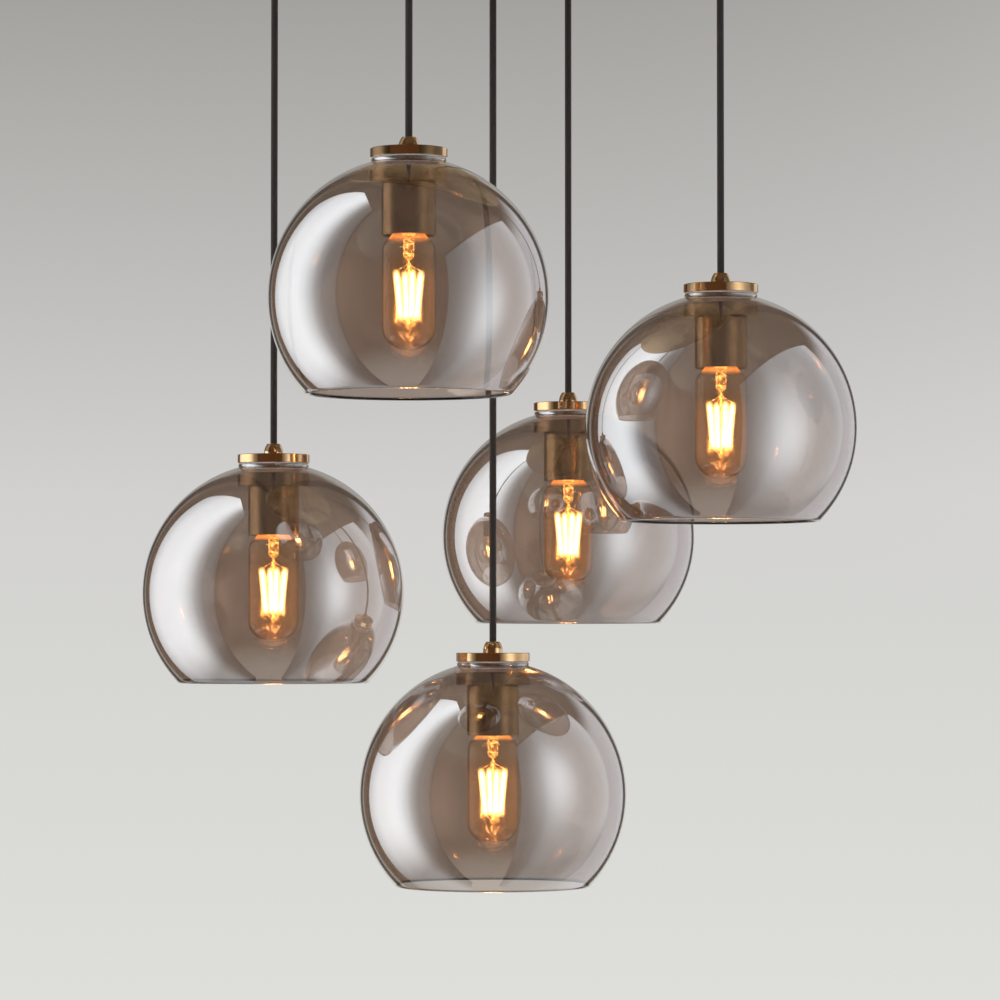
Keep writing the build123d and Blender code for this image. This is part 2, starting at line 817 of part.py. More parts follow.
pendant_pieces = {
    "cord": make_cord,
    "cord_grip": make_cord_grip,
    "cap": make_cap,
    "globe": make_globe,
    "gaskets": make_gaskets,
    "clamp_dish": make_clamp_dish,
    "socket_cup": make_socket_cup,
    "lampholder": make_lampholder,
    "bulb_glass": make_bulb_glass,
    "bulb_core": make_bulb_core,
}
for letter, drop in drops.items():
    x, y = cord_place(letter)
    for piece, make in pendant_pieces.items():
        make(f"{piece}_{letter}", x, y, -drop)
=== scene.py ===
"""Looks of the cluster pendant: five smoked glass globes with filament bulbs on fabric cords."""

from math import acos, asin, cos, degrees, pi, radians, sin, sqrt, tau

import bpy
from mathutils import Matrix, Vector


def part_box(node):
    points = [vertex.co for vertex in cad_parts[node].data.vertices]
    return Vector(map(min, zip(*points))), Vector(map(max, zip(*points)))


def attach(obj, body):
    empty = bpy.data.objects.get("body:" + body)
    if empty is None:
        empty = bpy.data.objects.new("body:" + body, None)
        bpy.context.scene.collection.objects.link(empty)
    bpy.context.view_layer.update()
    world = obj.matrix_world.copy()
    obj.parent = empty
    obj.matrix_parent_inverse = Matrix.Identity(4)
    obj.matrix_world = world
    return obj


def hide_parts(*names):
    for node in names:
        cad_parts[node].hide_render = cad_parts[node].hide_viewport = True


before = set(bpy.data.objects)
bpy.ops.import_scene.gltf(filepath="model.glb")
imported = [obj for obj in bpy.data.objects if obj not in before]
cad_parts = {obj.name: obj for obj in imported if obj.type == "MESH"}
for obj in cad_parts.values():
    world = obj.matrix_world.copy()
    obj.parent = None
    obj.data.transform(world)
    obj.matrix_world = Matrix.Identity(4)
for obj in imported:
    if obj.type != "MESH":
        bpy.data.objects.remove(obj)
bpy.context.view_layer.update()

MM = 0.001
LETTERS = "abcde"
NECK_OUTER = 31.0  # radius of the globe's neck in millimetres
NECK_RISE = 2.8  # millimetres from the sphere's edge at the neck up to the neck's top


def middle(node):
    """Middle of a node's box, which is on the axis of a turned piece."""
    low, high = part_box(node)
    return (low + high) / 2


AXES = {letter: middle(f"cap_{letter}").xy for letter in LETTERS}
GLOBE_RADIUS = (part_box("globe_e")[1].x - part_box("globe_e")[0].x) / 2
NECK_TOP = sqrt(GLOBE_RADIUS**2 - (NECK_OUTER * MM) ** 2) + NECK_RISE * MM  # above the globe's centre
CENTRES = {letter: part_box(f"globe_{letter}")[1].z - NECK_TOP for letter in LETTERS}

# ------------------------------------------------------------------ camera

CAMERA_PLACE = (0.0061, -3.432, -0.654)
CAMERA_PITCH = 2.016  # degrees above level
FOCAL_PIXELS = 3978
FRAME_PIXELS = 1000
SENSOR = 36.0


def make_camera():
    data = bpy.data.cameras.new("camera")
    data.sensor_width = SENSOR
    data.lens = FOCAL_PIXELS / FRAME_PIXELS * SENSOR
    data.clip_end = 200
    camera = bpy.data.objects.new("camera", data)
    camera.location = CAMERA_PLACE
    camera.rotation_euler = (radians(90 + CAMERA_PITCH), 0, 0)
    bpy.context.scene.collection.objects.link(camera)
    bpy.context.scene.camera = camera


# ------------------------------------------------------------------ colours and node helpers


def srgb(red, green, blue):
    """Linear colour of a display colour given in 0 to 255."""
    return tuple(
        (c / 255 / 12.92) if c <= 10 else ((c / 255 + 0.055) / 1.055) ** 2.4 for c in (red, green, blue)
    )


class Nodes:
    """Short calls for building one node tree."""

    def __init__(self, tree):
        self.tree = tree

    def put(self, socket, value):
        if isinstance(value, bpy.types.NodeSocket):
            self.tree.links.new(value, socket)
        elif isinstance(value, (tuple, list)) and len(value) == 3 and socket.type == "RGBA":
            socket.default_value = (*value, 1)
        else:
            socket.default_value = value

    def node(self, kind, settings=None, **inputs):
        made = self.tree.nodes.new(kind)
        for name, value in (settings or {}).items():
            setattr(made, name, value)
        for name, value in inputs.items():
            self.put(made.inputs[name.replace("_", " ")], value)
        return made

    def math(self, operation, a, b=0.0, c=0.0, clamp=False):
        made = self.tree.nodes.new("ShaderNodeMath")
        made.operation = operation
        made.use_clamp = clamp
        for socket, value in zip(made.inputs, (a, b, c)):
            self.put(socket, value)
        return made.outputs[0]

    def vector(self, operation, a, b=(0.0, 0.0, 0.0)):
        made = self.tree.nodes.new("ShaderNodeVectorMath")
        made.operation = operation
        self.put(made.inputs[0], a)
        self.put(made.inputs[1], b)
        return made.outputs["Value" if operation in ("LENGTH", "DOT_PRODUCT") else "Vector"]

    def split(self, vector):
        return self.node("ShaderNodeSeparateXYZ", Vector=vector).outputs

    def ramp(self, factor, stops):
        made = self.tree.nodes.new("ShaderNodeValToRGB")
        made.color_ramp.interpolation = "LINEAR"
        elements = made.color_ramp.elements
        while len(elements) < len(stops):
            elements.new(0.5)
        for element, (place, colour) in zip(elements, stops):
            element.position = place
            element.color = (*colour, 1)
        self.put(made.inputs[0], factor)
        return made.outputs[0]

    def span(self, value, low, high, to_low=0.0, to_high=1.0, kind="SMOOTHSTEP"):
        made = self.tree.nodes.new("ShaderNodeMapRange")
        made.interpolation_type = kind
        limits = {"Value": value, "From Min": low, "From Max": high, "To Min": to_low, "To Max": to_high}
        for name, limit in limits.items():
            self.put(made.inputs[name], limit)
        return made.outputs[0]

    def product(self, first, *others):
        for other in others:
            first = self.math("MULTIPLY", first, other)
        return first

    def path(self):
        """What kind of ray sees the surface, and whether it has been mirrored."""
        rays = self.node("ShaderNodeLightPath").outputs
        return rays, self.math("GREATER_THAN", rays["Glossy Depth"], 0.5)

    def place(self):
        return self.node("ShaderNodeTexCoord").outputs["Object"]

    def grain(self, place, scale, detail, roughness=0.5):
        made = self.node("ShaderNodeTexNoise", Vector=place, Scale=scale, Detail=detail, Roughness=roughness)
        return made.outputs["Fac"]

    def bump(self, height, distance, strength):
        return self.node("ShaderNodeBump", Height=height, Distance=distance, Strength=strength).outputs[0]

    def mix(self, factor, a, b):
        made = self.tree.nodes.new("ShaderNodeMix")
        made.data_type = "RGBA"
        self.put(made.inputs["Factor"], factor)
        self.put(made.inputs[6], a)
        self.put(made.inputs[7], b)
        return made.outputs[2]

    def blend(self, factor, a, b):
        """Surface between two shaders."""
        made = self.node("ShaderNodeMixShader")
        for socket, value in zip(made.inputs, (factor, a, b)):
            self.put(socket, value)
        return made.outputs[0]

    def clear(self):
        return self.node("ShaderNodeBsdfTransparent").outputs[0]

    def show(self, surface):
        """Make a shader the material's surface."""
        self.put(self.tree.nodes["Material Output"].inputs["Surface"], surface)


def material(name):
    """A new material with its nodes and Principled shader."""
    made = bpy.data.materials.new(name)
    made.use_nodes = True
    nodes = Nodes(made.node_tree)
    return made, nodes, made.node_tree.nodes["Principled BSDF"]


def paint(node, made, axis_point):
    """Give a CAD node's object one material, and a point of its axis for the marks of turning."""
    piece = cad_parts[node]
    piece["own_axis"] = axis_point
    piece.data.materials.clear()
    piece.data.materials.append(made)


# ------------------------------------------------------------------ studio

# Each soft panel is an upright wall of light. Its ends are places in plan, and its stops are brightness
# at distances from its front end. Bottom says between which heights it dims and to what share, and
# each of its top edges is a height at the front end and a slope. A spot is a brighter place on it:
# distance, height, width, height of the spot, and gain.
LEFT_PANEL = {
    "front": (-1.45, -1.1),
    "back": (-1.45, 1.25),
    "stops": (
        (0.0, 0.0), (0.08, 0.18), (0.42, 0.38), (0.60, 0.85), (0.74, 1.55), (0.92, 2.25), (1.1, 2.5),
        (1.3, 2.4), (1.5, 2.2), (1.78, 2.0), (2.1, 1.45), (2.35, 1.2),
    ),
    "bottom": (-2.6, -1.15, 0.25),
    "tops": ((2.95, 0.0), (6.25, -2.17)),
    "spots": (),
}
RIGHT_PANEL = {
    "front": (0.41, -0.97),
    "back": (3.45, 1.82),
    "stops": (
        (0.0, 0.20), (0.13, 0.24), (0.33, 0.38), (0.43, 0.56), (0.55, 0.66), (0.8, 0.70), (1.4, 0.74),
        (1.75, 0.82), (2.3, 0.95), (3.0, 1.1), (4.1, 1.1),
    ),
    "bottom": (-2.4, -1.2, 0.6),
    "tops": ((0.12, 0.645),),
    "spots": ((0.585, -0.58, 0.225, 0.36, 1.25),),
}
PANEL_LOW, PANEL_HIGH = -7.0, 3.2
PANEL_TINT = (0.92, 0.975, 1.02)
FULL_GLOW = 3.0  # brightness that a white stop stands for
TOP_FADE = 0.05
METAL_DIM_LEVELS = (-0.29, -0.20)
METAL_DIM = 0.8

BACKDROP_LEVELS = (-0.09, 0.16)
BACKDROP = (
    (0.0, srgb(222, 223, 218)),
    (0.5, srgb(210, 209, 207)),
    (0.7, srgb(192, 191, 189)),
    (1.0, srgb(163, 162, 158)),
)
WHITE = (1.0, 1.0, 1.0)
DARK_ROOM = (0.11, 0.065, 0.04)
DARK_CEILING = (0.13, 0.10, 0.075)
DARK_BAND = (0.06, 0.05, 0.045)
PALE_FLOOR = (0.46, 0.42, 0.38)
SIDE_WALL = (0.85, 0.87, 0.92)
PLAIN_LIGHT = (0.95, 0.96, 1.0)
PLAIN_STRENGTH = 0.62

FLOOR_RADIUS, FLOOR_LEVEL = 9.0, -1.9
FLOOR_FADE = (4.0, 8.6)
FLOOR_COLOUR = srgb(224, 223, 219)

BULB_LIGHT = {"energy": 0.25, "color": (1.0, 0.48, 0.14), "shadow_soft_size": 0.006}
BULB_LIGHT_RISE = 30 * MM
LAMP_SIZE = 1.6
LAMP_TARGET = (0, 0, -0.5)
LAMPS = {  # place and watts
    "key_lamp": ((-2.2, -1.6, 0.6), 38),
    "fill_lamp": ((2.2, -1.8, -0.2), 20),
    "back_lamp": ((0.8, 2.4, 0.8), 12),
}
LIGHT_BOUNCES = 24
MIRROR_BOUNCES = 12


def panel_mesh(name, length):
    mesh = bpy.data.meshes.new(name)
    corners = [(0, 0, PANEL_LOW), (0, length, PANEL_LOW), (0, length, PANEL_HIGH), (0, 0, PANEL_HIGH)]
    mesh.from_pydata(corners, [], [(0, 1, 2, 3)])
    return mesh


def panel_spot(n, along, up, spot):
    """Soft round spot on a panel."""
    place, height, wide, tall, gain = spot
    across = n.math("POWER", n.math("DIVIDE", n.math("SUBTRACT", along, place), wide), 2.0)
    upright = n.math("POWER", n.math("DIVIDE", n.math("SUBTRACT", up, height), tall), 2.0)
    away = n.math("ADD", across, upright)
    return n.product(n.math("EXPONENT", n.product(away, -0.5)), gain)


def panel_glow(n, facts, along, up):
    """Brightness over one panel."""
    start, end = facts["stops"][0][0], facts["stops"][-1][0]
    stops = [
        ((place - start) / (end - start), (level / FULL_GLOW,) * 3) for place, level in facts["stops"]
    ]
    glow = n.product(n.ramp(n.span(along, start, end, kind="LINEAR"), stops), FULL_GLOW)
    glow = n.product(glow, n.span(up, *facts["bottom"], 1.0))
    for spot in facts["spots"]:
        glow = n.math("ADD", glow, panel_spot(n, along, up, spot))
    for level, slope in facts["tops"]:
        edge = n.math("MULTIPLY_ADD", along, slope, level)
        glow = n.product(glow, n.span(n.math("SUBTRACT", edge, up), 0.0, TOP_FADE))
    return glow


def make_panel(name, facts):
    """Wall of soft light that only mirrored rays meet."""
    front, back = Vector(facts["front"]), Vector(facts["back"])
    mesh = panel_mesh(name, (back - front).length)
    panel = bpy.data.objects.new(name, mesh)
    panel.location = (*front, 0)
    panel.rotation_euler = (0, 0, (back - front).angle_signed(Vector((0, 1))))
    bpy.context.scene.collection.objects.link(panel)
    made, n, shader = material(name)
    mesh.materials.append(made)
    made.node_tree.nodes.remove(shader)
    _, along, up = n.split(n.place())[:3]
    glow = panel_glow(n, facts, along, up)
    rays, mirrored = n.path()
    # Metal that isn't mirror-sharp sees the upper part dimmed, or it would flood the canopy's underside
    blurred = n.math("SUBTRACT", 1.0, rays["Is Singular Ray"])
    dimmed = n.product(blurred, n.span(up, *METAL_DIM_LEVELS, 0.0, METAL_DIM))
    glow = n.product(glow, n.math("SUBTRACT", 1.0, dimmed))
    light = n.node("ShaderNodeEmission", Color=PANEL_TINT, Strength=glow)
    lit = n.product(mirrored, n.math("GREATER_THAN", glow, 0.001))
    n.show(n.blend(lit, n.clear(), light.outputs[0]))
    panel.visible_camera = False
    panel.visible_diffuse = False
    panel.visible_shadow = False


def backdrop_colour(n, x, z):
    """Grey that darkens upward, a little lighter to the right."""
    grey = n.ramp(n.span(z, *BACKDROP_LEVELS, kind="LINEAR"), BACKDROP)
    lighter = n.product(n.math("POWER", n.math("MAXIMUM", x, 0.0), 2.0), 5.5)
    lighter = n.math("MINIMUM", lighter, 0.1)
    return n.mix(n.product(lighter, n.span(z, 0.0, 0.06)), grey, WHITE)


def room_colour(n, turn, z, backdrop):
    """What glass and metal mirror: the backdrop behind, a side wall, and a dark room with a pale floor."""
    behind = n.product(n.span(turn, -34.0, -26.0), n.span(turn, 69.0, 66.0))
    side_wall = n.mix(n.span(turn, 12.0, 34.0), backdrop, SIDE_WALL)
    room = n.mix(behind, DARK_ROOM, side_wall)
    room = n.mix(n.span(z, 0.42, 0.62), room, DARK_CEILING)
    return n.mix(n.span(z, -0.62, -1.0), room, PALE_FLOOR)


def make_world():
    """Plain light for matt surfaces, the backdrop for the camera, and the room for glass and metal."""
    world = bpy.data.worlds.new("studio")
    bpy.context.scene.world = world
    world.use_nodes = True
    n = Nodes(world.node_tree)
    x, y, z = n.split(n.node("ShaderNodeTexCoord").outputs["Generated"])[:3]
    turn = n.product(n.math("ARCTAN2", x, y), 180 / pi)
    backdrop = backdrop_colour(n, x, z)
    rays, mirrored = n.path()
    seen = n.mix(mirrored, backdrop, room_colour(n, turn, z, backdrop))
    # Dark on both sides of the backdrop, for the glass walls' dark outlines
    aside = n.math("ABSOLUTE", turn)
    band = n.product(n.span(aside, 15.5, 18.5), n.span(aside, 30.0, 25.5))
    band = n.product(band, n.math("SUBTRACT", 1.0, rays["Is Camera Ray"]))
    seen = n.mix(band, seen, DARK_BAND)
    plain = n.node("ShaderNodeBackground", Color=PLAIN_LIGHT, Strength=PLAIN_STRENGTH)
    shown = n.node("ShaderNodeBackground", Color=seen, Strength=1.0)
    sight = n.math("MAXIMUM", rays["Is Camera Ray"], rays["Is Glossy Ray"])
    sight = n.math("MAXIMUM", sight, rays["Is Transmission Ray"])
    surface = n.blend(sight, plain.outputs[0], shown.outputs[0])
    n.put(world.node_tree.nodes["World Output"].inputs["Surface"], surface)


def make_floor():
    """Pale floor, seen from above only, that fades into the backdrop."""
    made, n, shader = material("pale_floor")
    mesh = bpy.data.meshes.new("floor")
    steps = 64
    mesh.from_pydata(ring(FLOOR_RADIUS, FLOOR_LEVEL, steps), [], [tuple(range(steps))])
    floor = bpy.data.objects.new("floor", mesh)
    bpy.context.scene.collection.objects.link(floor)
    mesh.materials.append(made)
    shader.inputs["Base Color"].default_value = (*FLOOR_COLOUR, 1)
    shader.inputs["Roughness"].default_value = 0.9
    shader.inputs["Specular IOR Level"].default_value = 0.0
    out = n.vector("LENGTH", n.vector("MULTIPLY", n.place(), (1.0, 1.0, 0.0)))
    below = n.node("ShaderNodeNewGeometry").outputs["Backfacing"]
    hidden = n.math("MAXIMUM", n.span(out, *FLOOR_FADE), below)
    hidden = n.math("MAXIMUM", hidden, n.path()[1])
    n.show(n.blend(hidden, shader.outputs[0], n.clear()))


def place_lamp(name, data, place):
    """Lamp that lights surfaces and isn't seen, mirrored or refracted itself."""
    lamp = bpy.data.objects.new(name, data)
    lamp.location = place
    lamp.visible_camera = False
    lamp.visible_glossy = False
    lamp.visible_transmission = False
    bpy.context.scene.collection.objects.link(lamp)
    return lamp


def make_bulb_light(letter):
    """Warm light of the strips on the cup's inside and the holder."""
    data = bpy.data.lights.new(f"bulb_light_{letter}", "POINT")
    for name, value in BULB_LIGHT.items():
        setattr(data, name, value)
    place_lamp(f"bulb_light_{letter}", data, (*AXES[letter], CENTRES[letter] + BULB_LIGHT_RISE))


def make_lamp(name, place, power):
    data = bpy.data.lights.new(name, "AREA")
    data.shape = "SQUARE"
    data.size = LAMP_SIZE
    data.energy = power
    aim = Vector(LAMP_TARGET) - Vector(place)
    place_lamp(name, data, place).rotation_euler = aim.to_track_quat("-Z", "Y").to_euler()


def make_studio():
    scene = bpy.context.scene
    scene.view_settings.view_transform = "Standard"
    scene.cycles.max_bounces = LIGHT_BOUNCES
    scene.cycles.transmission_bounces = LIGHT_BOUNCES
    scene.cycles.transparent_max_bounces = LIGHT_BOUNCES
    scene.cycles.glossy_bounces = MIRROR_BOUNCES
    make_world()
    make_floor()
    make_panel("left_panel", LEFT_PANEL)
    make_panel("right_panel", RIGHT_PANEL)
    for letter in LETTERS:
        make_bulb_light(letter)
    for name, (place, power) in LAMPS.items():
        make_lamp(name, place, power)


# ------------------------------------------------------------------ meshes


def ring(radius, height, steps):
    """Points of a level circle about Z."""
    return [(radius * cos(tau * i / steps), radius * sin(tau * i / steps), height) for i in range(steps)]


def band(low, high, steps):
    """Faces between two rings of points, from their first points' numbers."""
    pairs = [(i, (i + 1) % steps) for i in range(steps)]
    return [(low + i, low + j, high + j, high + i) for i, j in pairs]


def mesh_of(name, verts, faces):
    """Smooth mesh."""
    mesh = bpy.data.meshes.new(name)
    mesh.from_pydata(verts, [], faces)
    mesh.polygons.foreach_set("use_smooth", [True] * len(mesh.polygons))
    return mesh


def lathe(name, profile, steps, closed=False):
    """Mesh turned about Z from a half outline of (radius, height) points, on the axis where radius is 0."""
    points, rings = [], []
    for radius, height in profile:
        if radius < 1e-7:
            rings.append([len(points)] * steps)
            points.append((0.0, 0.0, height))
        else:
            rings.append(list(range(len(points), len(points) + steps)))
            points += ring(radius, height, steps)
    faces = []
    for low, high in zip(rings, rings[1:] + (rings[:1] if closed else [])):
        for i in range(steps):
            j = (i + 1) % steps
            corners = [low[i], low[j], high[j], high[i]]
            face = [c for k, c in enumerate(corners) if c != corners[k - 1]]
            if len(set(face)) >= 3:
                faces.append(face)
    mesh = mesh_of(name, points, faces)
    mesh.validate()
    return mesh


def arc(radius, start, end, steps):
    """Points of a circle about the middle, between two angles above level in degrees."""
    angles = [radians(start + (end - start) * i / steps) for i in range(steps + 1)]
    return [(radius * cos(angle), radius * sin(angle)) for angle in angles]


# ------------------------------------------------------------------ cords


def braid_group():
    """Height of a round braid: yarns that cross both ways, over one and under one."""
    tree = bpy.data.node_groups.new("braid", "ShaderNodeTree")
    face = tree.interface
    face.new_socket("Place", in_out="INPUT", socket_type="NodeSocketVector")
    face.new_socket("Yarns", in_out="INPUT", socket_type="NodeSocketFloat")
    face.new_socket("Pitch", in_out="INPUT", socket_type="NodeSocketFloat")
    face.new_socket("Height", in_out="OUTPUT", socket_type="NodeSocketFloat")
    n = Nodes(tree)
    ins = tree.nodes.new("NodeGroupInput").outputs
    x, y, z = n.split(ins["Place"])[:3]
    round_way = n.product(n.math("DIVIDE", n.math("ARCTAN2", y, x), tau), ins["Yarns"])
    long_way = n.product(n.math("DIVIDE", z, ins["Pitch"]), ins["Yarns"])
    one = n.math("ADD", round_way, long_way)
    other = n.math("SUBTRACT", round_way, long_way)
    ridge = [n.math("ABSOLUTE", n.math("SINE", n.product(way, pi))) for way in (one, other)]
    cells = n.math("ADD", n.math("FLOOR", one), n.math("FLOOR", other))
    over = n.math("GREATER_THAN", n.math("FLOORED_MODULO", cells, 2.0), 0.5)
    height = n.node("ShaderNodeMix", Factor=over)
    n.put(height.inputs[2], ridge[0])
    n.put(height.inputs[3], ridge[1])
    n.put(tree.nodes.new("NodeGroupOutput").inputs["Height"], height.outputs[0])
    return tree


BRAID_YARNS = 12
BRAID_PITCH = 16 * MM


def make_fabric(braid):
    """Black braid with a little fuzz on its yarns, which cross as the braid group says, with painted shade
    in the grooves between them.
    """
    made, n, shader = material("black_fabric")
    place = n.place()
    weave = n.tree.nodes.new("ShaderNodeGroup")
    weave.node_tree = braid
    n.put(weave.inputs["Place"], place)
    weave.inputs["Yarns"].default_value = BRAID_YARNS
    weave.inputs["Pitch"].default_value = BRAID_PITCH
    fuzz = n.grain(place, 2600.0, 3.0)
    # Painted shade: darker in the grooves between the yarns and lighter on their crowns
    painted_shade_tones = [(0.0, srgb(22, 19, 18)), (0.6, srgb(40, 34, 32)), (1.0, srgb(54, 47, 44))]
    shade = n.ramp(weave.outputs["Height"], painted_shade_tones)
    n.put(shader.inputs["Base Color"], n.mix(n.product(fuzz, 0.5), shade, srgb(30, 26, 25)))
    shader.inputs["Roughness"].default_value = 0.78
    shader.inputs["Sheen Weight"].default_value = 0.25
    shader.inputs["Sheen Roughness"].default_value = 0.4
    height = n.math("ADD", weave.outputs["Height"], n.product(fuzz, 0.35))
    n.put(shader.inputs["Normal"], n.bump(height, 0.35 * MM, 0.9))
    return made


def smooth_tube(name, places, radius, finish, sides, steps, shares=None):
    """Round tube on one smooth curve, with a share of its radius at each place."""
    curve = bpy.data.curves.new(name, "CURVE")
    curve.dimensions = "3D"
    curve.bevel_depth = radius
    curve.bevel_resolution = sides
    curve.resolution_u = steps
    curve.use_fill_caps = True
    spline = curve.splines.new("NURBS")
    spline.points.add(len(places) - 1)
    for point, place, share in zip(spline.points, places, shares or [1.0] * len(places)):
        point.co = (*place, 1)
        point.radius = share
    spline.order_u = 3
    spline.use_endpoint_u = True
    tube = bpy.data.objects.new(name, curve)
    bpy.context.scene.collection.objects.link(tube)
    curve.materials.append(finish)
    return tube


# The hanging cord's upper end is domed, to swing in its grip: millimetres below the end, and the share
# of the radius there
CORD_DOME = ((0.0, 0.12), (0.15, 0.42), (0.6, 0.68), (1.5, 0.9), (3.2, 1.0), (5.0, 1.0))
CORD_RUN = (0.08, 0.5, 0.92, 1.0)  # its other points, as shares of the length
CORD_SIDES, CORD_STEPS = 12, 12


def make_cord(letter, fabric):
    """One taut hanging cord, from its canopy grip to its lampholder."""
    low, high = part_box(f"cord_{letter}")
    radius = (high.x - low.x) / 2
    length = high.z - low.z
    depths = [below * MM for below, share in CORD_DOME] + [part * length for part in CORD_RUN]
    shares = [share for below, share in CORD_DOME] + [1.0] * len(CORD_RUN)
    places = [(0, 0, -depth) for depth in depths]
    name = f"hanging_cord_{letter}"
    cord = smooth_tube(name, places, radius, fabric, CORD_SIDES, CORD_STEPS, shares)
    cord.location = (*AXES[letter], high.z)
    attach(cord, f"pendant_{letter}")
    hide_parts(f"cord_{letter}")


# Each lead's way over the canopy's floor from its cord grip to its terminal, in millimetres
LEAD_ROUTES = {
    "a": [
        (-60, -172, -19), (-42, -140, -33), (-14, -106, -34),
        (10, -70, -34), (34, -44, -27), (51, -28, -11),
    ],
    "b": [(176, -58, -20), (150, -50, -33), (118, -42, -33), (106, -27, -22), (98, -17, -11)],
    "c": [
        (-170, 62, -20), (-134, 50, -33), (-86, 44, -34), (-38, 34, -34),
        (8, 36, -34), (36, 27, -25), (52, 17, -11),
    ],
    "d": [(60, 170, -20), (44, 138, -33), (38, 96, -34), (30, 64, -32), (38, 40, -22), (52, 28, -11)],
    "e": [(16, -6, -13), (38, -11, -20), (54, -6, -11)],
}
LEAD_ENDS = {
    "a": (70, -27.5, -10),
    "b": (80, -16.5, -10),
    "c": (70, 16.5, -10),
    "d": (70, 27.5, -10),
    "e": (70, -5.5, -10),
}
LEAD_DIAMETER = 3.6
LEAD_RISE = 12.0
JACKET_DIAMETER = 6.0
JACKET_LEVELS = (-44.3, -27.0)
LEAD_SIDES, LEAD_STEPS = 8, 16


def make_tube(name, points, diameter, finish):
    """Fixed tube through points in millimetres, in place of the canopy's leads."""
    places = [(x * MM, y * MM, z * MM) for x, y, z in points]
    tube = smooth_tube(name, places, diameter / 2 * MM, finish, LEAD_SIDES, LEAD_STEPS)
    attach(tube, "root")
    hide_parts("canopy_leads")
    return tube


def make_lead(letter, jacket_finish, lead_finish):
    """Fixed upper end of one cord in its canopy grip, and its lead on to the terminals."""
    x, y = AXES[letter].x / MM, AXES[letter].y / MM
    low, high = JACKET_LEVELS
    ends = [(x, y, low), (x, y, (low + high) / 2), (x, y, high)]
    jacket = make_tube(f"fixed_cord_end_{letter}", ends, JACKET_DIAMETER, jacket_finish)
    route = [(x, y, high), (x, y, high + LEAD_RISE), *LEAD_ROUTES[letter], LEAD_ENDS[letter]]
    lead = make_tube(f"canopy_lead_{letter}", route, LEAD_DIAMETER, lead_finish)


# ------------------------------------------------------------------ materials


def axis_place(n):
    """Place on a turned CAD piece from its own pendant's axis, kept on the object as a property."""
    axis = n.node("ShaderNodeAttribute", {"attribute_type": "OBJECT", "attribute_name": '["own_axis"]'})
    return n.vector("SUBTRACT", n.place(), axis.outputs["Vector"])


def turned_group():
    """Fine rings and smears that turning and polishing leave round an axis."""
    tree = bpy.data.node_groups.new("turned", "ShaderNodeTree")
    face = tree.interface
    face.new_socket("Place", in_out="INPUT", socket_type="NodeSocketVector")
    face.new_socket("Fineness", in_out="INPUT", socket_type="NodeSocketFloat")
    face.new_socket("Height", in_out="OUTPUT", socket_type="NodeSocketFloat")
    face.new_socket("Smear", in_out="OUTPUT", socket_type="NodeSocketFloat")
    n = Nodes(tree)
    ins = tree.nodes.new("NodeGroupInput").outputs
    place = ins["Place"]
    x, y, z = n.split(place)[:3]
    out = n.vector("LENGTH", n.vector("MULTIPLY", place, (1.0, 1.0, 0.0)))
    rings = n.tree.nodes.new("ShaderNodeCombineXYZ")
    n.put(rings.inputs["X"], n.product(out, ins["Fineness"]))
    n.put(rings.inputs["Y"], n.product(z, ins["Fineness"]))
    n.put(rings.inputs["Z"], n.product(n.math("ARCTAN2", y, x), 0.35))
    outs = tree.nodes.new("NodeGroupOutput").inputs
    n.put(outs["Height"], n.grain(rings.outputs[0], 1.0, 4.0, 0.7))
    n.put(outs["Smear"], n.grain(place, 60.0, 3.0, 0.6))
    return tree


# Turned brass: colour, colour where it's aged, roughness where it's clean and where it's handled, rings
# for each metre, and the rings' depth in metres
BRASSES = {
    "polished": ("polished_brass", (0.74, 0.48, 0.25), (0.64, 0.38, 0.18), 0.06, 0.12, 9000, 5e-6),
    "satin": ("satin_brass", (0.56, 0.42, 0.26), (0.46, 0.33, 0.19), 0.17, 0.26, 6000, 2e-5),
    "canopy": ("canopy_brass", (0.46, 0.34, 0.20), (0.40, 0.29, 0.17), 0.20, 0.28, 1200, 5e-6),
}
MIRROR_GAIN = 7.0  # of the globes' outside, times the reflection of plain glass
SMOKE = (0.63, 0.535, 0.475)
GLASS_IOR = 1.5


def make_brass(turned, name, colour, worn, gloss, dull, fineness, groove):
    """Turned brass: fine rings round the axis, smears of handling, and a darker tone where it's aged."""
    made, n, shader = material(name)
    marks = n.tree.nodes.new("ShaderNodeGroup")
    marks.node_tree = turned
    n.put(marks.inputs["Place"], axis_place(n))
    marks.inputs["Fineness"].default_value = fineness
    smear = marks.outputs["Smear"]
    n.put(shader.inputs["Base Color"], n.mix(n.span(smear, 0.35, 0.7), colour, worn))
    shader.inputs["Metallic"].default_value = 1.0
    n.put(shader.inputs["Roughness"], n.span(smear, 0.3, 0.75, gloss, dull))
    n.put(shader.inputs["Normal"], n.bump(marks.outputs["Height"], groove, 0.5))
    return made


def make_smoked_glass(name, gain):
    """Smoked glass that passes a warm grey and mirrors gain times as much as plain glass, untinted."""
    made, n, shader = material(name)
    shader.inputs["Base Color"].default_value = (*SMOKE, 1)
    shader.inputs["Metallic"].default_value = 0.0
    shader.inputs["Transmission Weight"].default_value = 1.0
    shader.inputs["IOR"].default_value = GLASS_IOR
    shader.inputs["Roughness"].default_value = 0.0
    shader.inputs["Specular Tint"].default_value = (gain, gain, gain, 1)
    waves = n.grain(n.place(), 11.0, 1.0)
    n.put(shader.inputs["Normal"], n.bump(waves, 0.6 * MM, 0.02))
    return made


